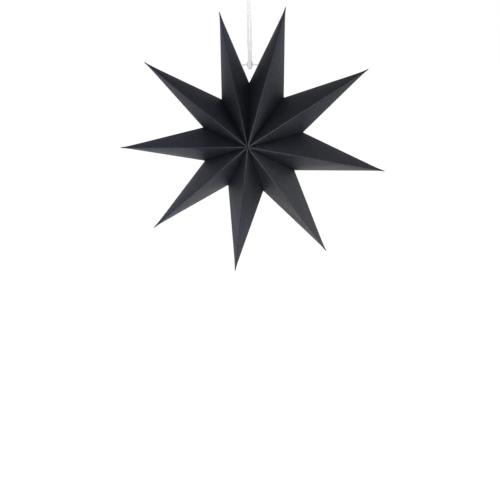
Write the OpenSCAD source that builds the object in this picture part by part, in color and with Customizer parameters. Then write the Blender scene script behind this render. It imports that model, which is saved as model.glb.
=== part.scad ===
// Nine-pointed star folded from card, hung on a doubled cotton cord.
// Every point is one sheet: four faces folded round a hollow blade, with a narrow flange
// turned inward along each valley fold. The flanges of neighbouring points are glued face
// to face, and a thread ties the first and last point of the fan together at the top.
// The origin is the upper end of the cord. +Z is up and the star's front looks along -Y.

/* [Star] */
// Radius of the circle through the tips
tip_r = 150; // [100:1:220]
// Radius of the circle through the notches between the points
notch_r = 58; // [45:1:70]
// Radius of the notch between the two tied points
tied_notch_r = 65.5; // [58:0.5:74]
// Depth from the middle plane to the front and the back of the hub
half_depth = 59; // [40:1:80]
// Angle between the two tied points
tied_angle = 28.5; // [26:0.5:36]
// How far the fan's lower points have swung clockwise from an even spread
swing = 8; // [0:0.5:12]

/* [Card] */
// Thickness of the card
card_t = 0.35; // [0.2:0.05:0.4]
// Width of the glued flange along a valley fold
flange_w = 5; // [3:0.5:9]
// Distance from the middle plane to the mitred end of a flange
flange_relief = 1.5; // [0.5:0.25:4]
// Radius of the hole that the cut noses of the points leave at the hub
hub_hole_r = 2.1; // [2:0.1:4]

/* [Tie] */
// Height of the tie thread above the star's centre
tie_h = 86; // [80:1:110]
// Diameter of the tie thread
tie_d = 1.2; // [0.8:0.1:1.6]
// Diameter of the punched holes that it passes
tie_hole_d = 2; // [1.8:0.1:3]
// Diameter of the stopper knots inside the two points
stopper_d = 4; // [3:0.1:5]
// Room between a stopper knot and the card
stopper_gap = 0.1; // [0.05:0.05:0.3]

/* [Cord] */
// Diameter of the cord
cord_d = 2; // [1.6:0.1:2.1]
// Height of the knot's lower face above the tie thread
loop_h = 99; // [40:1:200]
// Height of the knot
knot_h = 9; // [6:0.5:12]
// Diameter of the knot's core, which both strands enter
knot_core_d = 4.8; // [4.4:0.1:5.5]
// Thickness of the two turns round the core
knot_turn_d = 2.2; // [1.6:0.1:2.6]
// Tilt of the two turns
knot_tilt = 16; // [0:1:25]
// Length of the single strand above the knot
end_l = 20; // [8:1:60]
// How far the star's centre stands to the right of the cord, where it balances
cord_side = 2.5; // [0:0.25:3]

/* [Hidden] */
$fn = 48;
point_count = 9;
card_colour = [0.11, 0.115, 0.135];
cord_colour = [0.93, 0.93, 0.92];

// Heights in the part's frame, from the cord's upper end down
knot_top_z = -end_l;
knot_bottom_z = knot_top_z - knot_h;
tie_z = knot_bottom_z - loop_h;
star_z = tie_z - tie_h;

// The fan: points are numbered clockwise from the right one of the two tied points
fan_step = (360 - tied_angle) / (point_count - 1);

// Route of the cord's left half round the tie thread: x, y and height from the thread's axis
hitch = [[-1.1, 0, 14], [-1.1, 0.3, 10], [-1.1, 0.9, 6], [-1.1, 1.9, 2.4], [-1.1, 2.1, 0],
         [-1.1, 1.6, -2], [-1.1, 0.2, -3.3], [-1.3, -1.5, -2.7], [-1.9, -2.2, -0.8],
         [-2.4, -2.3, 1.2], [-2.1, -2.2, 3.2], [-1.2, -1.9, 4.6]];
hitch_middle = [0, -1.7, 5];
strand_x = -hitch[0].x;
ring_step = 3 * cord_d;
cord_sides = 8;

// Plane through three corners, as its unit normal and its distance from the origin
function unit(v) = v / norm(v);
function plane(a, b, c) = let (n = unit(cross(b - a, c - a))) [n, n * a];
function moved(p, d) = [p[0], p[1] + d];

// Corner where three planes meet
function meet(p, q, s) =
    let (qs = cross(q[0], s[0]), sp = cross(s[0], p[0]), pq = cross(p[0], q[0]))
    (p[1] * qs + q[1] * sp + s[1] * pq) / (p[0] * qs);

// Direction at an angle clockwise from the top, in the star's middle plane
function spoke(angle) = [sin(angle), 0, cos(angle)];

// Angle of a point's tip, with the swing growing from none at the top to all of it below
function even_angle(i) = tied_angle / 2 + fan_step * (i - 1);
function tip_angle(i) = even_angle(i) + swing / 2 * (1 - cos(even_angle(i)));

// Angle and radius of the notch before point i. The tied notch hangs right below the cord.
function is_tied(i) = i == 1 || i == point_count + 1;
function tied_notch_angle(i) = (i == 1 ? 0 : 360) - asin(cord_side / tied_notch_r);
function notch_angle(i) =
    is_tied(i) ? tied_notch_angle(i) : (tip_angle(i - 1) + tip_angle(i)) / 2;
function notch_radius(i) = is_tied(i) ? tied_notch_r : notch_r;
function tip(i) = tip_r * spoke(tip_angle(i));
function notch(i) = notch_radius(i) * spoke(notch_angle(i));

// The hub's corner, in front with face = -1 and behind with face = 1
function hub(face) = [0, face * half_depth, 0];

// Outer plane of one face of point i, its normal pointing out of the hollow blade.
// side = 0 is the face beside the notch before the point, side = 1 the one after it.
function card_face(i, side, face) =
    (side == 0) == (face < 0)
        ? plane(tip(i), notch(i + side), hub(face))
        : plane(tip(i), hub(face), notch(i + side));

// Plane of the glue joint beside that face, its normal pointing out of the point's sector
function joint_plane(i, side) =
    let (a = notch_angle(i + side), s = side == 0 ? -1 : 1) [s * [cos(a), 0, -sin(a)], 0];

// Corners of one flange. Those with an odd index lie on the inner skin of the card.
// 0, 1: nose end of the valley fold; 2, 3: its end beside the notch; 4, 5 and 6, 7: free edge.
function flange_corners(i, side, face) =
    let (skin = card_face(i, side, face),
         joint = joint_plane(i, side),
         nose = [spoke(tip_angle(i)), hub_hole_r],
         end = [[0, face, 0], flange_relief],
         along = unit(notch(i + side) - hub(face)),
         across = unit(cross(joint[0], along)),
         inward = across * [0, face, 0] < 0 ? across : -across,
         edge = [inward, inward * notch(i + side) + flange_w])
    [for (line = [[skin, nose], [skin, end], [edge, end], [edge, nose]], depth = [0, card_t])
        meet(line[0] == skin ? moved(skin, -depth) : edge, moved(joint, -depth), line[1])];

// Corners of a whole sheet, those with an odd index on the inner skin.
// 0, 1: tip; 2 to 5: notches; 6 to 9: noses of the front and back ridges; 10 on: flanges.
function sheet_corners(i) =
    let (middle = [[0, 1, 0], 0], nose = [spoke(tip_angle(i)), hub_hole_r])
    concat(
        [for (depth = [0, card_t])
            meet(moved(card_face(i, 0, -1), -depth), moved(card_face(i, 1, -1), -depth), middle)],
        [for (side = [0, 1], depth = [0, card_t])
            meet(moved(card_face(i, side, -1), -depth), moved(joint_plane(i, side), -depth),
                 middle)],
        [for (face = [-1, 1], depth = [0, card_t])
            meet(moved(card_face(i, 0, face), -depth), moved(card_face(i, 1, face), -depth),
                 nose)],
        [for (face = [-1, 1], side = [0, 1], corner = flange_corners(i, side, face)) corner]);

// Triangles of one face with its flange: v, r and f are where its notch, ridge nose and flange
// corners start in the list, and the flange has the order that flange_corners gives
function face_triangles(v, r, f) =
    [[0, v, f + 2], [0, f + 2, f], [0, f, r],
     [1, f + 3, v + 1], [1, f + 1, f + 3], [1, r + 1, f + 1],
     [f, f + 1, r + 1], [f, r + 1, r],
     [f, f + 2, f + 4], [f, f + 4, f + 6],
     [f + 1, f + 7, f + 5], [f + 1, f + 5, f + 3],
     [f + 6, f + 4, f + 5], [f + 6, f + 5, f + 7],
     [f + 2, f + 3, f + 5], [f + 2, f + 5, f + 4],
     [f, f + 6, f + 7], [f, f + 7, f + 1],
     [f + 2, v, v + 1], [f + 2, v + 1, f + 3]];

// The same triangles, turned over where the face is a mirror image of the first
function turned(list, over) = [for (t = list) over ? [t[0], t[2], t[1]] : t];

function sheet_triangles() =
    [for (back = [0, 1], side = [0, 1])
        each turned(face_triangles(2 + 2 * side, 6 + 2 * back, 10 + 16 * back + 8 * side),
                    back == side)];

// Where the side fold of a tied point crosses the height of the tie thread
function fold_at_tie(i, side) =
    let (a = notch(i + side), b = tip(i)) a + (b - a) * (tie_h - a.z) / (b.z - a.z);

// How far inside that fold a stopper knot's centre lies, when it rests against both faces
function stopper_in(i, side) =
    let (reach = stopper_d / 2 + card_t + stopper_gap, n = card_face(i, side, -1)[0])
    reach / abs(n.x);

function tie_end_x(i, side) =
    fold_at_tie(i, side).x + (side == 0 ? 1 : -1) * stopper_in(i, side);

// Frames along a route, turned as little as possible from one ring to the next
function tangents(route) =
    [for (i = [0 : len(route) - 1])
        unit(route[min(i + 1, len(route) - 1)] - route[max(i - 1, 0)])];
function square_to(v, t) = unit(v - (v * t) * t);
function sides_along(t) =
    [for (i = 0, u = square_to([0, 1, 0], t[0]); i < len(t);
          i = i + 1, u = i < len(t) ? square_to(u, t[i]) : u) u];

module star_frame() {
    translate([cord_side, 0, star_z])
        children();
}

// A round cord swept along a route
module swept_cord(route) {
    t = tangents(route);
    u = sides_along(t);
    rings = len(route);
    corners = [for (i = [0 : rings - 1], k = [0 : cord_sides - 1])
        route[i] + cord_d / 2 * (cos(k * 360 / cord_sides) * u[i]
                                 + sin(k * 360 / cord_sides) * cross(t[i], u[i]))];
    walls = [for (i = [0 : rings - 2], k = [0 : cord_sides - 1])
        let (a = i * cord_sides + k, b = i * cord_sides + (k + 1) % cord_sides)
        each [[a, a + cord_sides, b + cord_sides], [a, b + cord_sides, b]]];
    first = [for (k = [0 : cord_sides - 1]) k];
    last = [for (k = [cord_sides - 1 : -1 : 0]) (rings - 1) * cord_sides + k];
    polyhedron(corners, concat(walls, [first, last]), convexity = 6);
}

// One sheet of card, folded into a point
module folded_sheet(i) {
    polyhedron(sheet_corners(i), sheet_triangles(), convexity = 6);
}

// Punched hole where the tie thread passes the side fold
module tie_hole(i, side) {
    translate([fold_at_tie(i, side).x - stopper_d / 2, 0, tie_h])
        rotate([0, 90, 0])
            cylinder(d = tie_hole_d, h = stopper_d);
}

module card_point(i) {
    color(card_colour)
        star_frame()
            difference() {
                folded_sheet(i);
                if (i == 1)
                    tie_hole(i, 0);
                if (i == point_count)
                    tie_hole(i, 1);
            }
}

// Thread through both punched holes, with a stopper knot inside each point
module tie_thread() {
    left = tie_end_x(point_count, 1);
    right = tie_end_x(1, 0);
    color(cord_colour)
        star_frame()
            translate([0, 0, tie_h]) {
                translate([left, 0, 0])
                    rotate([0, 90, 0])
                        cylinder(d = tie_d, h = right - left);
                for (x = [left, right])
                    translate([x, 0, 0])
                        sphere(d = stopper_d);
            }
}

// Doubled cord: down one strand, hitched round the tie thread and up the other strand,
// and the single strand that goes on above the knot
module hanging_cord() {
    top = loop_h;
    drop = top - hitch[0].z;
    strand = [for (k = [0 : floor(drop / ring_step) - 1]) [-strand_x, 0, top - k * ring_step]];
    half = concat(strand, hitch);
    back = [for (k = [len(half) - 1 : -1 : 0]) [-half[k].x, half[k].y, half[k].z]];
    color(cord_colour) {
        translate([0, 0, tie_z])
            swept_cord(concat(half, [hitch_middle], back));
        swept_cord([for (k = [0 : 4]) [0, 0, -k * end_l / 4]]);
    }
}

// Overhand knot of both strands: a core with two slanting turns round it
module cord_knot() {
    turn_r = knot_core_d / 2;
    color(cord_colour)
        translate([0, 0, knot_bottom_z]) {
            cylinder(d = knot_core_d, h = knot_h);
            for (s = [-1, 1])
                translate([0, 0, knot_h / 2 + s * knot_turn_d / 2])
                    rotate([0, s * knot_tilt, 0])
                        rotate_extrude()
                            translate([turn_r, 0])
                                circle(d = knot_turn_d);
        }
}

for (i = [1 : point_count])
    card_point(i);
tie_thread();
hanging_cord();
cord_knot();
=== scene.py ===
from itertools import accumulate

import bpy
import numpy as np
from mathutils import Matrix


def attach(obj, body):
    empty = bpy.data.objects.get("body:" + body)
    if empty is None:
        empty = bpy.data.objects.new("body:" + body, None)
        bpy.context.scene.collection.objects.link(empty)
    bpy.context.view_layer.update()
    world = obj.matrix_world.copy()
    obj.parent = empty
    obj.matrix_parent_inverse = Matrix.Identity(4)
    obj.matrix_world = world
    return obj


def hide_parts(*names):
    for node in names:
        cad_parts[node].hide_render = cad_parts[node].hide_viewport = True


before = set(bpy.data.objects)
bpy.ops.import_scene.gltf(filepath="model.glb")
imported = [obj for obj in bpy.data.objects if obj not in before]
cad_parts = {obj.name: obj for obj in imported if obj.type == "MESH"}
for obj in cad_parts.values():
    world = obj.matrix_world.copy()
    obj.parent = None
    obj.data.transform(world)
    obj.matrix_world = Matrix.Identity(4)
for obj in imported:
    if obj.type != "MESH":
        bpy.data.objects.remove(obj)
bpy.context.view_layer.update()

# Sizes of the part in millimetres, as its source names them
TIP_R, NOTCH_R, TIED_NOTCH_R, HALF_DEPTH = 150.0, 58.0, 65.5, 59.0
TIED_ANGLE, SWING, POINTS = 28.5, 8.0, 9
CARD_T, FLANGE_W = 0.35, 5.0
CORD_SIDE, TIE_Z, TIE_H = 2.5, -128.0, 86.0
TIE_HOLE_R, TIE_R = 1.0, 0.6
CORD_D, KNOT_TOP, KNOT_BOTTOM = 2.0, -20.0, -29.0
STAR_CENTRE = np.array([CORD_SIDE, 0.0, TIE_Z - TIE_H])
FAN_STEP = (360.0 - TIED_ANGLE) / (POINTS - 1)

# Sizes of the hand-made finish
FOLD_W = 0.5        # reach of the rounding on each side of a fold
BOW = 1.6           # how far the middle of a face stands proud
BUCKLE = 0.14       # slow unevenness of the card
WAVES = ((1.3, 0.8), (2.4, 1.7), (4.1, 1.1))    # its waves along a face, half waves across
PINCH = 2.4         # how far a tip is drawn out beyond the straight folds
PINCH_REACH = 2.6   # how fast that fades towards the hub
BLUNT = 0.45        # half the width that the card's layers leave at a tip
BLUNT_REACH = 6.0   # how fast that fades towards the hub
PALE_BAND_W = 0.6        # how far the pale band of rubbing and painted highlight reaches from a ridge or an edge

# Shares of the ridge
NOSE = 0.006        # cut off at the hub
KINK = 0.447        # lies opposite the notch
FOLD_FADE = 0.03    # over which a fold's rounding grows from the hub and from the tip
KINK_FADE = 0.012   # over which the rounding of a border stops on each side of the notch
HOLE_BAND = 0.011   # with close rows, on each side of a punched hole

# Rows from hub to notch, from notch to tip, and at a hole. Columns on the rounding of a
# fold, as shares of its reach, and between two folds, as shares of that width
INNER_ROWS, OUTER_ROWS, HOLE_ROWS = 27, 37, 23
NEAR_FOLD = np.linspace(0, 1, 5)
FACE_COLUMNS = np.array([0.02, 0.06, 0.12, 0.2, 0.3, 0.4, 0.5, 0.6, 0.7, 0.8, 0.88, 0.94, 0.98])
TWO_ROWS = 5, 9     # two rows that tell which way a grid faces
FAR_OFF = 40.0      # stands for the distance from a fold where none is near

# What each corner of the card carries for its finish: distance from the ridge and from the
# outer edge, share of the way to the tip, and how far the crease is painted pale, for rubbing
# and as a painted highlight
LINES = ("ridge", "edge", "reach", "crease_rubbed_and_highlit")

# The plies of cord and thread: how many, and the length in which they turn once round.
# In the knot the cord is a little thinner and turns a little faster
CORD_PLIES, CORD_TURN, KNOT_TURN, KNOT_SHARE = 3, 7.5, 7.0, 0.96
THREAD_PLIES, THREAD_TURN = 2, 3.2
CURVE_STEPS = 24    # steps between two knots of a smooth line

# The studio, in metres: height and half width of the floor, and side of a soft box
FLOOR_Z, FLOOR_HALF, BOX_SIZE = -1.1, 30.0, 1.1

# Unevenness of the folding by hand, in millimetres outward and clockwise: at the tip of
# each point, and at the notch before it
TIP_SLIP = ((1.7, -1.0), (1.3, 0.8), (1.7, 0.8), (-0.3, -0.1), (0.3, -1.3), (0.8, 0.6),
            (-0.1, -1.0), (-1.1, 0.0), (-3.2, -0.3))
NOTCH_SLIP = ((0.9, -0.6), (3.5, -0.3), (0.9, -0.5), (0.1, -0.1), (-0.5, 0.2), (-1.1, 0.7),
              (0.5, -0.1), (0.1, -0.7), (0.9, -1.8))
# Share of each point's ridge along which the crease is painted pale, partly for rubbing and
# partly as a painted highlight
CREASE_END = (0.62, 0.8, 0.62, 0.6, 0.36, 0.4, 0.4, 0.48, 0.36)
# How much more or less than BOW the two front faces of each point stand proud
FRONT_BOW = ((0.9, 1.5), (1.0, 0.8), (0.9, 0.9), (0.5, 0.0), (0.4, 0.3), (0.7, 1.0),
             (1.0, 0.3), (1.3, 1.3), (1.0, 0.1))


def unit(v):
    """Vectors divided by their length, along the last axis."""
    return v / np.linalg.norm(v, axis=-1, keepdims=True)


def grey(level):
    return level, level, level, 1.0


def make_camera():
    """The photograph's viewpoint: 1.2 m in front, a little to the right and above."""
    camera = bpy.data.objects.new("camera", bpy.data.cameras.new("camera"))
    camera.data.lens, camera.data.sensor_width = 76.48, 36.0
    camera.location = (0.1011, -1.2001, -0.0901)
    camera.rotation_euler = np.radians([90.0 - 11.688, 0.0, 4.807])
    bpy.context.collection.objects.link(camera)
    bpy.context.scene.camera = camera


class Value:
    """A shader value. The usual operators between values add Math nodes."""

    def __init__(self, socket):
        self.socket = socket

    def math(self, operation, a, b=None):
        return Finish.of(self.socket).node(
            "ShaderNodeMath", {"operation": operation}, {0: a, 1: b})

    def __add__(self, other):
        return self.math("ADD", self, other)

    def __sub__(self, other):
        return self.math("SUBTRACT", self, other)

    def __mul__(self, other):
        return self.math("MULTIPLY", self, other)

    def __truediv__(self, other):
        return self.math("DIVIDE", self, other)

    def __pow__(self, other):
        return self.math("POWER", self, other)

    def __rpow__(self, other):
        return self.math("POWER", other, self)

    def __neg__(self):
        return self.math("MULTIPLY", self, -1.0)

    __radd__, __rmul__ = __add__, __mul__


class Finish:
    """A material or world, and the one way in which nodes are added to it."""

    made = {}

    def __init__(self, owner):
        owner.use_nodes = True
        self.owner, self.tree = owner, owner.node_tree
        self.tree.nodes.clear()
        Finish.made[self.tree.as_pointer()] = self

    @staticmethod
    def of(socket):
        return Finish.made[socket.id_data.as_pointer()]

    def node(self, kind, settings=None, values=None, out=0):
        """Adds a node: its settings first, then the values or links of its sockets."""
        made = self.tree.nodes.new(kind)
        for name, setting in (settings or {}).items():
            setattr(made, name, setting)
        for name, value in (values or {}).items():
            if isinstance(value, Value):
                self.tree.links.new(value.socket, made.inputs[name])
            elif value is not None:
                made.inputs[name].default_value = value
        return Value(made.outputs[out]) if len(made.outputs) else None

    def attribute(self, name):
        return self.node("ShaderNodeAttribute", {"attribute_name": name}, out="Fac")

    def noise(self, where, scale, detail=2.0, roughness=0.5):
        return self.node("ShaderNodeTexNoise", {"noise_dimensions": "3D"},
                         {"Vector": where, "Scale": scale, "Detail": detail,
                          "Roughness": roughness})

    def blend(self, share, first, second):
        """Colour between two others."""
        return self.node("ShaderNodeMix", {"data_type": "RGBA"},
                         {0: share, 6: first, 7: second}, out=2)

    def between(self, value, low, high):
        """Smooth step from 0 at low to 1 at high."""
        return self.node("ShaderNodeMapRange", {"interpolation_type": "SMOOTHSTEP"},
                         {0: value, 1: low, 2: high})


def near(value, reach):
    """Bell that is 1 at zero and fades over the given reach."""
    return 2.718 ** -((value / reach) ** 2.0)


def card_finish():
    """Blue-black card: cloudy dye that is bluer to the left and darkened towards the hub as
    painted shade, felt-like fibres, and folds and outer edges painted paler, partly for rubbing
    and partly as a painted highlight."""
    black, navy_black = (0.0122, 0.0127, 0.0158, 1.0), (0.0104, 0.013, 0.033, 1.0)
    cloud_tone_and_hub_shade, fleck = (0.0012, 0.0015, 0.003, 1.0), (0.028, 0.0305, 0.045, 1.0)
    ridge_rubbed_and_highlit, rim_rubbed_and_highlit = (0.06, 0.062, 0.079, 1.0), (0.06, 0.06, 0.07, 1.0)
    card = Finish(bpy.data.materials.new("card_blue_black"))
    place = card.node("ShaderNodeTexCoord", out="Object")
    cloud = card.noise(place, 26.0, 3.0)
    fibre = card.noise(place, 2600.0, 3.0, 0.6)
    flecks = card.between(card.noise(place, 440.0, 2.0), 0.46, 0.7)
    ridge, edge = card.attribute("ridge"), card.attribute("edge")
    crease_rubbed_and_highlit = card.attribute("crease_rubbed_and_highlit")
    pale_breakup = card.noise(place, 180.0, 3.0)
    # Pale creases: partly rubbed card, partly a painted highlight of the light that the rounded
    # folds catch
    crease = near(ridge, PALE_BAND_W) * crease_rubbed_and_highlit * (0.55 + 0.9 * pale_breakup)
    # Pale rims along the outer edges: partly rubbed card, partly a painted highlight
    rim = near(edge, PALE_BAND_W) * (0.25 + 0.5 * pale_breakup)
    across = card.node("ShaderNodeSeparateXYZ", {}, {0: place}, out="X")
    navy = card.between(card.noise(place, 14.0, 2.0) - across * 1.6, 0.35, 0.75)
    dye = card.blend(navy, black, navy_black)
    # Painted shade: the dye goes darker towards the hub, where the points shade each other; the
    # cloud breaks it up at random
    dye = card.blend(cloud * 0.4 + card.attribute("reach") ** 1.8 * 0.75, cloud_tone_and_hub_shade, dye)
    dye = card.blend(flecks * 0.32, dye, fleck)
    dye = card.blend(crease, dye, ridge_rubbed_and_highlit)
    dye = card.blend(rim * 0.3, dye, rim_rubbed_and_highlit)
    polish = 0.6 + 0.1 * (cloud - 0.5) - 0.08 * crease + 0.06 * (fibre - 0.5)
    height = 0.6 * fibre + 0.4 * card.noise(place, 420.0, 2.0)
    bump = card.node("ShaderNodeBump", {},
                     {"Strength": 0.55, "Distance": 0.00003, "Height": height})
    shader = card.node("ShaderNodeBsdfPrincipled", {},
                       {"Base Color": dye, "Roughness": polish, "Normal": bump,
                        "Specular IOR Level": 0.19,
                        "Specular Tint": (0.84, 0.86, 1.0, 1.0)})
    card.node("ShaderNodeOutputMaterial", {}, {"Surface": shader})
    return card.owner


def cotton_finish(name, tint, shade):
    """White cotton: painted shade that darkens the plies where they meet, with fine fibres laid
    along them.
    """
    cotton = Finish(bpy.data.materials.new(name))
    laid = cotton.node("ShaderNodeUVMap", {"uv_map": "laid"})
    along = cotton.node("ShaderNodeMapping", {}, {"Vector": laid, "Scale": (2.0, 26.0, 1.0)})
    fibre = cotton.noise(along, 1.0, 3.0, 0.6)
    groove_shade = cotton.attribute("groove_shade")
    # Painted shade: the cotton is darker where the plies meet
    colour = cotton.blend(groove_shade * 0.35, tint, shade)
    colour = cotton.blend(cotton.between(fibre, 0.35, 0.75) * 0.25, colour, shade)
    bump = cotton.node("ShaderNodeBump", {},
                       {"Strength": 0.3, "Distance": 0.00006, "Height": fibre})
    shader = cotton.node("ShaderNodeBsdfPrincipled", {},
                         {"Base Color": colour, "Roughness": 0.8 + 0.1 * fibre,
                          "Normal": bump, "Specular IOR Level": 0.25,
                          "Sheen Weight": 0.15, "Sheen Roughness": 0.5})
    cotton.node("ShaderNodeOutputMaterial", {}, {"Surface": shader})
    return cotton.owner


def new_piece(name, corners, faces, finish, values=None, laid=None):
    """Puts corners in millimetres and their faces into a mesh, with a value of each corner
    per name in values, and a place on the surface per face corner in laid."""
    mesh = bpy.data.meshes.new(name)
    mesh.from_pydata((corners * 0.001).tolist(), [], faces)
    mesh.polygons.foreach_set("use_smooth", np.ones(len(mesh.polygons), bool))
    for key, value in (values or {}).items():
        mesh.attributes.new(key, "FLOAT", "POINT").data.foreach_set("value", value)
    if laid is not None:
        mesh.uv_layers.new(name="laid").data.foreach_set("uv", laid.ravel())
    mesh.materials.append(finish)
    mesh.update()
    piece = bpy.data.objects.new(name, mesh)
    bpy.context.collection.objects.link(piece)
    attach(piece, "root")
    return piece


def route_through(knots, step):
    """A smooth line through the knots, by Catmull and Rom's cubic on each span, then spaced
    evenly by its own length."""
    knots = np.asarray(knots, float)
    ends = np.vstack([2 * knots[:1] - knots[1:2], knots, 2 * knots[-1:] - knots[-2:-1]])
    p0, p1, p2, p3 = (ends[k:len(ends) - 3 + k, None] for k in range(4))
    t = np.linspace(0, 1, CURVE_STEPS, endpoint=False)[None, :, None]
    line = 0.5 * (2 * p1 + (p2 - p0) * t + (2 * p0 - 5 * p1 + 4 * p2 - p3) * t ** 2
                  + (3 * p1 - p0 - 3 * p2 + p3) * t ** 3)
    line = np.vstack([line.reshape(-1, 3), knots[-1:]])
    run = np.concatenate([[0], np.cumsum(np.linalg.norm(np.diff(line, axis=0), axis=1))])
    spaced = np.linspace(0, run[-1], max(int(run[-1] / step), 4))
    return np.stack([np.interp(spaced, run, line[:, k]) for k in range(3)], axis=1)


def laid_cord(name, route, diameter, plies, turn, finish, sides=30):
    """A cord of laid plies along a route. Each ring's radius swells over each ply and dips
    between two, and the plies turn once round the cord per turn millimetres. Both ends close
    with a quarter of an ellipse."""
    tangent = unit(np.gradient(route, axis=0))
    start = unit(np.cross(tangent[0], [0.3, 0.9, 0.2]))
    across = np.array(list(accumulate(
        tangent[1:], lambda u, t: (u - (u @ t) * t) / np.linalg.norm(u - (u @ t) * t),
        initial=start)))
    beside = np.cross(tangent, across)
    run = np.concatenate([[0], np.cumsum(np.linalg.norm(np.diff(route, axis=0), axis=1))])
    angle = np.linspace(0, 2 * np.pi, sides, endpoint=False)
    twist = plies / 2 * (angle[None] - 2 * np.pi * run[:, None] / turn)
    swell = np.abs(np.cos(twist)) ** 0.5
    end = np.clip(np.minimum(run, run[-1] - run) / (0.5 * diameter), 0, 1)
    radius = diameter / 2 * (0.8 + 0.2 * swell) * np.sqrt(1 - (1 - end) ** 2)[:, None]
    radius = np.maximum(radius, 0.02)
    outward = (np.cos(angle)[None, :, None] * across[:, None]
               + np.sin(angle)[None, :, None] * beside[:, None])
    rings = route[:, None] + radius[..., None] * outward
    corners = np.vstack([rings.reshape(-1, 3), route[:1], route[-1:]])
    i, j = np.meshgrid(np.arange(len(run) - 1), np.arange(sides), indexing="ij")
    n = (j + 1) % sides
    walls = np.stack([i * sides + j, i * sides + n, (i + 1) * sides + n, (i + 1) * sides + j],
                     axis=-1).reshape(-1, 4)
    k, last = np.arange(sides), (len(run) - 1) * sides
    first_cap = np.stack([(k + 1) % sides, k, np.full(sides, len(corners) - 2)], axis=1)
    last_cap = np.stack([last + k, last + (k + 1) % sides, np.full(sides, len(corners) - 1)],
                        axis=1)
    u = np.stack([run[i], run[i], run[i + 1], run[i + 1]], axis=-1).reshape(-1, 4)
    v = np.stack([j, j + 1, j + 1, j], axis=-1).reshape(-1, 4) / sides
    laid = np.stack([u, v + u / turn], axis=-1).reshape(-1, 2)
    laid = np.vstack([laid, np.zeros((6 * sides, 2))])
    # How far each corner lies between two plies; the cotton darkens it there as painted shade
    groove_shade = np.concatenate([(1 - swell).ravel(), [0, 0]])
    return new_piece(name, corners, walls.tolist() + first_cap.tolist() + last_cap.tolist(),
                     finish, {"groove_shade": groove_shade}, laid)


def spoke(angle):
    """Direction at an angle in degrees clockwise from the top, in the star's middle plane."""
    return np.array([np.sin(np.radians(angle)), 0.0, np.cos(np.radians(angle))])


def fan_angle(i):
    """Angle of a point's axis: even spacing from the tied gap on, plus the swing, which is
    nothing at the top and whole at the bottom."""
    even = TIED_ANGLE / 2 + FAN_STEP * (i - 1)
    return even + SWING / 2 * (1 - np.cos(np.radians(even)))


def tip_angle(i):
    return fan_angle(i) + np.degrees(TIP_SLIP[i - 1][1] / TIP_R)


def tip_radius(i):
    return TIP_R + TIP_SLIP[i - 1][0]


def tip(i):
    return tip_radius(i) * spoke(tip_angle(i))


def notch_radius(i):
    tied = i in (1, POINTS + 1)
    return (TIED_NOTCH_R if tied else NOTCH_R) + NOTCH_SLIP[(i - 1) % POINTS][0]


def notch_angle(i):
    """Midway between two tips, and right below the cord for the tied notch."""
    if i in (1, POINTS + 1):
        even = (0.0 if i == 1 else 360.0) - np.degrees(np.arcsin(CORD_SIDE / TIED_NOTCH_R))
    else:
        even = (fan_angle(i - 1) + fan_angle(i)) / 2
    return even + np.degrees(NOTCH_SLIP[(i - 1) % POINTS][1] / NOTCH_R)


def notch(i):
    return notch_radius(i) * spoke(notch_angle(i))


def hub(face):
    return np.array([0.0, face * HALF_DEPTH, 0.0])


def skin_normal(i, side, face):
    """Outward normal of one flat face: across its ridge and its valley."""
    n = unit(np.cross(tip(i) - hub(face), notch(i + side) - hub(face)))
    return n if n[1] * face > 0 else -n


def joint_normal(i, side):
    a = np.radians(notch_angle(i + side))
    return (1 if side else -1) * np.array([np.cos(a), 0.0, -np.sin(a)])


def tied_fold(i):
    """The side fold that the tie thread passes, or None, as (side, share of the ridge)."""
    if i not in (1, POINTS):
        return None
    side = 0 if i == 1 else 1
    low, high = notch(i + side)[2], tip(i)[2]
    return side, KINK + (1 - KINK) * (TIE_H - low) / (high - low)


def rows_of(i):
    """Shares of the ridge at which a point's rows lie: closer at the hub and at the tip, and
    very close where a hole is punched."""
    inner = NOSE + (KINK - NOSE) * np.linspace(0, 1, INNER_ROWS) ** 1.35
    outer = KINK + (1 - KINK) * (1 - (1 - np.linspace(0, 1, OUTER_ROWS)[1:]) ** 1.5)
    if tied_fold(i) is None:
        return np.concatenate([inner, outer])
    middle = tied_fold(i)[1]
    clear = outer[np.abs(outer - middle) > HOLE_BAND + 0.001]
    close = middle + np.linspace(-HOLE_BAND, HOLE_BAND, HOLE_ROWS)
    return np.sort(np.concatenate([inner, clear, close]))


def is_inner(u):
    """Which rows lie between the hub and the notch."""
    return u <= KINK + 1e-9


def rounding(u):
    """Reach of a fold's rounding, which shrinks with the face towards the hub and the tip."""
    return FOLD_W * np.clip(np.minimum(u, 1 - u) / FOLD_FADE, 0.04, 1)


def lowered(distance, reach, first, second):
    """Shift that rounds a fold between two faces with the given normals: along their shared
    bisector, by a parabola that is deepest on the fold and nothing at the reach."""
    middle = unit(first + second)
    sine = np.sqrt(max(1 - float(first @ middle) ** 2, 0))
    depth = reach * sine / 2 * np.clip(1 - distance / np.maximum(reach, 1e-6), 0, 1) ** 2
    return -depth[..., None] * middle


def grid_faces(rows, columns, over):
    """Quads of a grid, turned over where asked."""
    r, c = np.meshgrid(np.arange(rows - 1), np.arange(columns - 1), indexing="ij")
    a = r * columns + c
    quads = np.stack([a, a + 1, a + columns + 1, a + columns], axis=-1).reshape(-1, 4)
    return quads[:, ::-1] if over else quads


def distance_to(points, start, end):
    """Distance of each point from a straight piece between two ends."""
    along = end - start
    share = np.clip((points - start) @ along / (along @ along), 0, 1)
    return np.linalg.norm(points - start - share[..., None] * along, axis=-1)


def turned_over(across, along, normal):
    """Whether a grid with these two directions faces away from the normal."""
    return np.cross(across, along) @ normal < 0


def border_rounding(u):
    """Reach of the rounding of a border, which stops at the notch."""
    return np.clip(np.abs(u - KINK) / KINK_FADE, 0, 1) * rounding(u)


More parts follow.
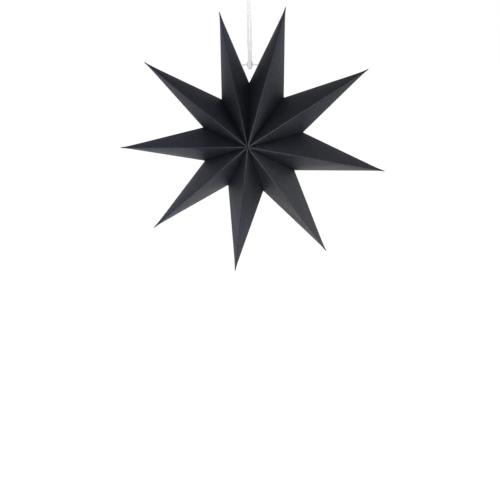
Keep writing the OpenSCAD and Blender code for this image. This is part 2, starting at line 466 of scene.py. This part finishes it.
def outline(i, side, face, u):
    """The ridge (hub to tip), the border (hub to notch, then notch to tip) and the width
    between them, at each row of a face. A row joins spots with the same share of both."""
    top, tail, corner = hub(face), tip(i), notch(i + side)
    ridge = top + (tail - top) * u[:, None]
    border = np.where(is_inner(u)[:, None], top + (corner - top) * (u / KINK)[:, None],
                      corner + (tail - corner) * ((u - KINK) / (1 - KINK))[:, None])
    return ridge, border, np.linalg.norm(border - ridge, axis=1)[:, None]


def face_grid(i, side, face, u, chance):
    """One face of a folded sheet. It bows out by a parabola across it, times a half wave
    along it, and a few slow waves make it uneven. Its folds are lowered by parabolas, which
    rounds them. Columns are close beside the folds."""
    top, tail, corner = hub(face), tip(i), notch(i + side)
    normal, other = skin_normal(i, side, face), skin_normal(i, 1 - side, face)
    behind, joint = skin_normal(i, side, -face), joint_normal(i, side)
    ridge, border, width = outline(i, side, face, u)
    at_ridge, at_border = rounding(u)[:, None], border_rounding(u)[:, None]
    beside = np.minimum(at_ridge / np.maximum(width, 1e-6), 0.3)
    v = np.hstack([beside * NEAR_FOLD, beside + (1 - 2 * beside) * FACE_COLUMNS,
                   1 - beside * NEAR_FOLD[::-1]])
    flat = ridge[:, None] + (border - ridge)[:, None] * v[..., None]
    arch = 4 * v * (1 - v)
    length = np.sin(np.pi * u ** 0.87)[:, None]
    proud = FRONT_BOW[i - 1][side] if face < 0 else chance.uniform(0.7, 1.3)
    wave = sum(chance.uniform(0.4, 1) * np.sin(f * u[:, None] * 6.3 + g * v * 3.1
                                               + chance.uniform(0, 6.3))
               for f, g in WAVES)
    bow = BOW * proud * arch * length + BUCKLE * wave * arch * length
    skin = flat + bow[..., None] * normal
    skin = skin + lowered(v * width, at_ridge, normal, other)
    to_border = (1 - v) * width
    skin = skin + np.where(
        is_inner(u)[:, None, None], lowered(to_border, at_border, normal, joint),
        lowered(to_border, at_border, normal, behind))
    punched = np.zeros(v.shape, bool)
    if tied_fold(i) and tied_fold(i)[0] == side:
        skin, punched = punch(skin, normal)
    reach = np.clip(flat @ spoke(tip_angle(i)) / TIP_R, 0, 1)
    # The pale crease fades from the hub out to CREASE_END: rubbing and a painted highlight
    lines = dict(ridge=distance_to(flat, top, tail), edge=distance_to(flat, corner, tail),
                 reach=reach, crease_rubbed_and_highlit=np.clip(1 - reach / CREASE_END[i - 1], 0, 1) ** 0.6,
                 wall=np.minimum(CARD_T, 0.3 * width) * np.ones_like(v))
    a, b = TWO_ROWS
    over = turned_over(border[a] - ridge[a], ridge[b] - ridge[a], normal)
    return skin, lines, punched, over


def flange_grid(i, side, face, u):
    """The flange along a face's valley fold, from the hub's nose to the notch. It is
    FLANGE_W wide and narrows at both ends."""
    normal, joint = skin_normal(i, side, face), joint_normal(i, side)
    u = u[is_inner(u)]
    border, width = outline(i, side, face, u)[1:]
    across = unit(np.cross(joint, unit(notch(i + side) - hub(face))))
    across = across if across[1] * face < 0 else -across
    share = (u - NOSE) / (KINK - NOSE)
    spread = np.clip(np.minimum(share / 0.1, (1 - share) / 0.06), 0, 1)[:, None]
    at_fold = rounding(u)[:, None]
    e = np.hstack([at_fold * NEAR_FOLD,
                   at_fold + (FLANGE_W - FOLD_W) * spread * np.array([[0.4, 1.0]])
                   + np.array([[1e-3, 2e-3]])])
    skin = border[:, None] + e[..., None] * across
    skin = skin + lowered(e, border_rounding(u)[:, None], normal, joint)
    lines = dict(ridge=np.full(e.shape, FAR_OFF), edge=np.full(e.shape, FAR_OFF),
                 reach=np.clip(skin @ spoke(tip_angle(i)) / TIP_R, 0, 1),
                 crease_rubbed_and_highlit=np.zeros(e.shape),
                 wall=np.minimum(CARD_T, 0.3 * width) * np.ones_like(e))
    a, b = TWO_ROWS
    over = turned_over(across, border[b] - border[a], joint)
    return skin, lines, np.zeros(e.shape, bool), over


def card_surface(i, chance):
    """The outer skin of one folded sheet: the grids of four faces and four flanges. Each is
    given by its corners, what they carry, which of them lie in a punched hole, and whether
    its cells have to be turned over."""
    u, grids = rows_of(i), []
    for face in (-1, 1):
        for side in (0, 1):
            grids += [face_grid(i, side, face, u, chance), flange_grid(i, side, face, u)]
    return grids


def punch(skin, normal):
    """Round hole for the tie thread. Corners within its radius move out to it, staying in the
    face's plane, and a grid cell that lies wholly inside is left out."""
    y, z = skin[..., 1], skin[..., 2] - TIE_H
    r = np.hypot(y, z)
    inside = r < TIE_HOLE_R
    grow = np.where(inside, TIE_HOLE_R / np.maximum(r, 1e-3), 1.0)
    dy, dz = y * (grow - 1), z * (grow - 1)
    shift = np.stack([-(normal[1] * dy + normal[2] * dz) / normal[0], dy, dz], axis=-1)
    return skin + shift, inside


def welded(patches):
    """Grids joined into one skin. Corners that agree to a ten-thousandth of a millimetre
    become one, a last row that has shrunk to the tip becomes a fan of triangles, and cells
    with a repeated corner are left out, as are corners that no face uses."""
    corners, quads, triangles, values, offset = [], [], [], [], 0
    for skin, lines, punched, over in patches:
        rows, columns = skin.shape[:2]
        cells = grid_faces(rows, columns, over)
        hole = punched.ravel()
        cells = cells[~hole[cells].all(axis=1)] + offset
        collapsed = np.linalg.norm(skin[-1, 0] - skin[-1, -1]) < 1e-6
        if collapsed:
            ends = cells.max(axis=1) >= offset + (rows - 1) * columns
            last = offset + (rows - 2) * columns + np.arange(columns - 1)
            apex = np.full(columns - 1, offset + (rows - 1) * columns)
            fan = np.stack([last, last + 1, apex], axis=1)
            triangles.append(fan[:, ::-1] if over else fan)
            cells = cells[~ends]
        quads.append(cells)
        corners.append(skin.reshape(-1, 3))
        values.append(np.stack([lines[key].ravel() for key in (*LINES, "wall")], axis=1))
        offset += rows * columns
    corners, values = np.vstack(corners), np.vstack(values)
    quads, triangles = np.vstack(quads), np.vstack(triangles)
    _, kept, joined = np.unique(np.round(corners, 4), axis=0, return_index=True,
                                return_inverse=True)
    joined = joined.ravel()
    corners, values = corners[kept], values[kept]
    quads, triangles = joined[quads], joined[triangles]
    in_order = np.sort(quads, axis=1)
    quads = quads[(in_order[:, 1:] != in_order[:, :-1]).all(axis=1)]
    used, spot = np.unique(np.concatenate([quads.ravel(), triangles.ravel()]),
                           return_inverse=True)
    quads, triangles = spot[:quads.size].reshape(-1, 4), spot[quads.size:].reshape(-1, 3)
    return corners[used], values[used], quads, triangles


def drawn_out(corners, axis, radius):
    """The tip is drawn out along the point's axis and kept blunt across it, both by
    exponentials of the distance that is left to the tip."""
    along = corners @ axis
    left = np.maximum(radius - along, 0)[:, None]
    aside = corners - along[:, None] * axis
    return (corners + PINCH * np.exp(-left / PINCH_REACH) * axis
            + BLUNT * np.exp(-left / BLUNT_REACH) * aside
            / np.maximum(np.linalg.norm(aside, axis=1, keepdims=True), 0.2))


def corner_normals(corners, rings):
    """Mean normal at each corner of the faces round it."""
    normal = np.zeros_like(corners)
    for ring in rings:
        face = np.cross(corners[ring[:, 2]] - corners[ring[:, 0]],
                        corners[ring[:, -1]] - corners[ring[:, 1]])
        face = unit(face + 1e-12)
        for k in range(ring.shape[1]):
            np.add.at(normal, ring[:, k], face)
    return unit(normal)


def card_point(i, finish, chance):
    """One folded sheet: the grids of its outer skin are welded along their shared folds, the
    skin is repeated inward by the card's thickness, and the free edges are closed."""
    corners, values, quads, triangles = welded(card_surface(i, chance))
    corners = drawn_out(corners, spoke(tip_angle(i)), tip_radius(i))
    count, wall = len(corners), values[:, -1:]
    corners = np.vstack([corners,
                         corners - wall * corner_normals(corners, (quads, triangles))])

    directed = np.vstack([np.stack([ring[:, k], ring[:, (k + 1) % ring.shape[1]]], axis=1)
                          for ring in (quads, triangles) for k in range(ring.shape[1])])
    forward = directed[:, 0] * count + directed[:, 1]
    back = directed[:, 1] * count + directed[:, 0]
    free = directed[~np.isin(forward, back)]
    rim = np.stack([free[:, 1], free[:, 0], free[:, 0] + count, free[:, 1] + count], axis=1)
    faces = (quads.tolist() + triangles.tolist() + (quads[:, ::-1] + count).tolist()
             + (triangles[:, ::-1] + count).tolist() + rim.tolist())
    lines = {key: np.tile(values[:, k], 2) for k, key in enumerate(LINES)}
    piece = new_piece(f"folded_point_{i}", corners + STAR_CENTRE, faces, finish, lines)
    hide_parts(f"point_{i}")
    return piece


def hang_star(finish):
    """The doubled cord: one route from its upper end through the knot, down the left strand,
    round the tie thread, and up the right strand into the knot."""
    left = [(-0.95, -0.4, 11.0), (-0.95, -0.8, 8.0), (-1.0, -1.2, 5.5), (-1.1, -1.9, 2.6),
            (-1.1, -2.1, 0.3), (-0.95, -1.7, -2.1), (-0.9, -0.2, -3.9), (-1.1, 1.4, -3.4),
            (-1.9, 1.9, -1.4), (-2.85, 1.75, 0.5), (-2.3, 1.8, 2.4), (-1.3, 1.9, 3.9)]
    left = np.array(left) + [0, 0, TIE_Z]
    z = np.linspace(KNOT_BOTTOM, TIE_Z + 15, 14)
    bulge = np.clip(np.minimum(KNOT_BOTTOM - z, z - TIE_Z - 11) / 18, 0, 1) ** 0.7
    strand = np.stack([-(0.95 + 0.5 * bulge), -0.2 * bulge, z], axis=1)
    half = np.vstack([strand, left])
    other = half[::-1] * [-1, 1, 1]
    lean = -0.7 * np.clip((half[:, 2] - TIE_Z - 11) / 60, 0, 1) * np.clip(
        (KNOT_BOTTOM - half[:, 2]) / 20, 0, 1)
    half[:, 0] += lean
    other[:, 0] += lean[::-1]
    top = np.array([(0, 0, 0), (0, 0, -5), (0, 0, -10), (0, 0, -15), (0, 0, KNOT_TOP),
                    (-0.4, 0, -24)])
    middle = np.array([(0, 1.9, 4.7 + TIE_Z)])
    end = np.array([(0.8, 0, -26)])
    route = route_through(np.vstack([top, half, middle, other, end]), 0.3)
    cord = laid_cord("hanging_cord_loop", route, CORD_D, CORD_PLIES, CORD_TURN, finish)
    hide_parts("hanging_cord")
    return cord, route


def overhand_knot(finish):
    """The knot of both strands: each goes up through the core, over the top, once round the
    outside going down, and up through the core again. One goes on, the other is cut off."""
    turn = np.linspace(0.0, 1.0, 14)
    pieces = []
    for k in (0, 1):
        angle = np.radians(60 + 40 * k + 400 * turn)
        radius = 2.55 - 0.15 * k
        height = 2.3 - 1.9 * k - 2.6 * turn
        wrap = np.stack([radius * np.cos(angle), radius * np.sin(angle), height], axis=1)
        rise = np.array([(1.0 - 2 * k, 0.2, -5.2), (0.9 - 1.8 * k, 0.4, -2.5),
                         (0.7 - 1.4 * k, 0.8, 1.0), (0.9 - 0.8 * k, 1.3, 2.7 - 1.2 * k)])
        leave = (np.array([(0.9, -1.2, -2.7), (0.4, -0.6, 0.0), (0.1, -0.1, 3.0), (0, 0, 4.6)])
                 if k == 0 else
                 np.array([(-0.3, -1.7, -3.6), (-0.9, -0.9, -0.5), (-1.3, -0.4, 3.0),
                           (-1.9, -0.7, 5.6)]))
        line = np.vstack([rise, wrap, leave]) + [0, 0, (KNOT_TOP + KNOT_BOTTOM) / 2]
        pieces.append(laid_cord(f"knot_strand_{k}", route_through(line, 0.25),
                                CORD_D * KNOT_SHARE, CORD_PLIES, KNOT_TURN, finish))
    for piece in pieces:
        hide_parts("cord_knot")
    return pieces


def tie_thread(finish):
    """The thread between the two tied points, lifted a little by the cord in its middle, with
    a small wound stopper inside each point."""
    right, left = (notch(k) + (tip(i) - notch(k)) * (tied_fold(i)[1] - KINK) / (1 - KINK)
                   for i, k in ((1, 1), (POINTS, POINTS + 1)))
    beyond, raised, coil = 3.2, 0.35, 0.75
    x = np.linspace(left[0] - beyond, right[0] + beyond, 13)
    lift = raised * np.exp(-((x + CORD_SIDE) / 5) ** 2)
    line = np.stack([x, 0 * x, TIE_H + lift], axis=1)
    thread = laid_cord("tie_between_points", route_through(line, 0.2) + STAR_CENTRE,
                       2 * TIE_R, THREAD_PLIES, THREAD_TURN, finish, sides=20)
    pieces = [thread]
    for name, end, out in (("tie_stopper_left", left, -1), ("tie_stopper_right", right, 1)):
        turn = np.linspace(0, 4 * np.pi, 40)
        wind = np.stack([end[0] + out * (2.0 + 0.14 * turn), coil * np.cos(turn),
                         TIE_H + coil * np.sin(turn)], axis=1)
        pieces.append(laid_cord(name, route_through(wind, 0.25) + STAR_CENTRE, 2 * TIE_R,
                                THREAD_PLIES, THREAD_TURN, finish, sides=16))
    for piece in pieces:
        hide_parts("tie_thread")
    return pieces


def area_light(name, place, aim, size, power):
    """A square soft box that faces its aim."""
    light = bpy.data.lights.new(name, "AREA")
    light.size, light.energy = size, power
    lamp = bpy.data.objects.new(name, light)
    way = np.array(place, float) - np.array(aim, float)
    flat = np.hypot(way[0], way[1])
    lamp.location = place
    lamp.rotation_euler = (np.arctan2(flat, way[2]), 0.0, np.arctan2(way[0], -way[1]))
    lamp.visible_camera = False
    bpy.context.collection.objects.link(lamp)


def make_studio():
    """Pale floor 0.7 m below the lowest tip, a white surround, and soft boxes at a plain level.
    To the camera the floor grows whiter with distance, so that it meets the surround unseen."""
    surround = Finish(bpy.data.worlds.new("surround"))
    path = [surround.node("ShaderNodeLightPath", out=k)
            for k in ("Is Camera Ray", "Is Glossy Ray", "Is Transmission Ray")]
    seen = path[0].math("MAXIMUM", path[0].math("MAXIMUM", path[0], path[1]), path[2])
    level = surround.blend(seen, grey(0.1), grey(1.0))
    light = surround.node("ShaderNodeBackground", {}, {"Color": level, "Strength": 1.0})
    surround.node("ShaderNodeOutputWorld", {}, {"Surface": light})
    bpy.context.scene.world = surround.owner

    paper = Finish(bpy.data.materials.new("floor_white"))
    matte = paper.node("ShaderNodeBsdfDiffuse", {}, {"Color": grey(0.82)})
    far = paper.node("ShaderNodeVectorMath", {"operation": "LENGTH"},
                     {0: paper.node("ShaderNodeTexCoord", out="Object")}, out="Value")
    shown = paper.blend(paper.between(far, 0.5, 2.2), grey(0.86), grey(0.95))
    glow = paper.node("ShaderNodeEmission", {}, {
        "Color": paper.blend(paper.node("ShaderNodeLightPath", out="Is Camera Ray"),
                             grey(0.0), shown),
        "Strength": 1.0})
    both = paper.node("ShaderNodeAddShader", {}, {0: matte, 1: glow})
    paper.node("ShaderNodeOutputMaterial", {}, {"Surface": both})
    mesh = bpy.data.meshes.new("floor")
    half = FLOOR_HALF
    mesh.from_pydata([(-half, -half, FLOOR_Z), (half, -half, FLOOR_Z), (half, half, FLOOR_Z),
                      (-half, half, FLOOR_Z)], [], [(0, 1, 2, 3)])
    mesh.materials.append(paper.owner)
    floor = bpy.data.objects.new("floor", mesh)
    bpy.context.collection.objects.link(floor)

    star = 0.001 * STAR_CENTRE
    for name, place, power in (("front", (0.0, -1.7, -0.16), 24.0),
                               ("left", (-1.5, 0.0, -0.51), 5.0),
                               ("right", (1.5, 0.0, -0.51), 19.0),
                               ("above_right", (1.1, 0.0, 0.89), 4.5),
                               ("below", (0.0, -0.1, -1.01), 2.5),
                               ("below_behind", (0.0, 0.35, -1.01), 8.2),
                               ("below_left", (-1.1, 0.5, -0.96), 6.8),
                               ("behind_left", (-1.4, 0.8, -0.31), 4.9),
                               ("behind_right", (1.4, 0.8, -0.31), 6.0)):
        area_light(f"soft_box_{name}", place, star, BOX_SIZE, power)


def make_star():
    cotton = cotton_finish("cotton_white", (0.91, 0.91, 0.905, 1.0), grey(0.82))
    thread = cotton_finish("thread_white", grey(0.8), grey(0.56))
    cord, route = hang_star(cotton)
    knot = overhand_knot(cotton)
    tie_thread(thread)
    card = card_finish()
    chance = np.random.default_rng(9)
    for i in range(1, POINTS + 1):
        card_point(i, card, chance)


make_camera()
make_star()
make_studio()
bpy.context.scene.view_settings.view_transform = "Standard"
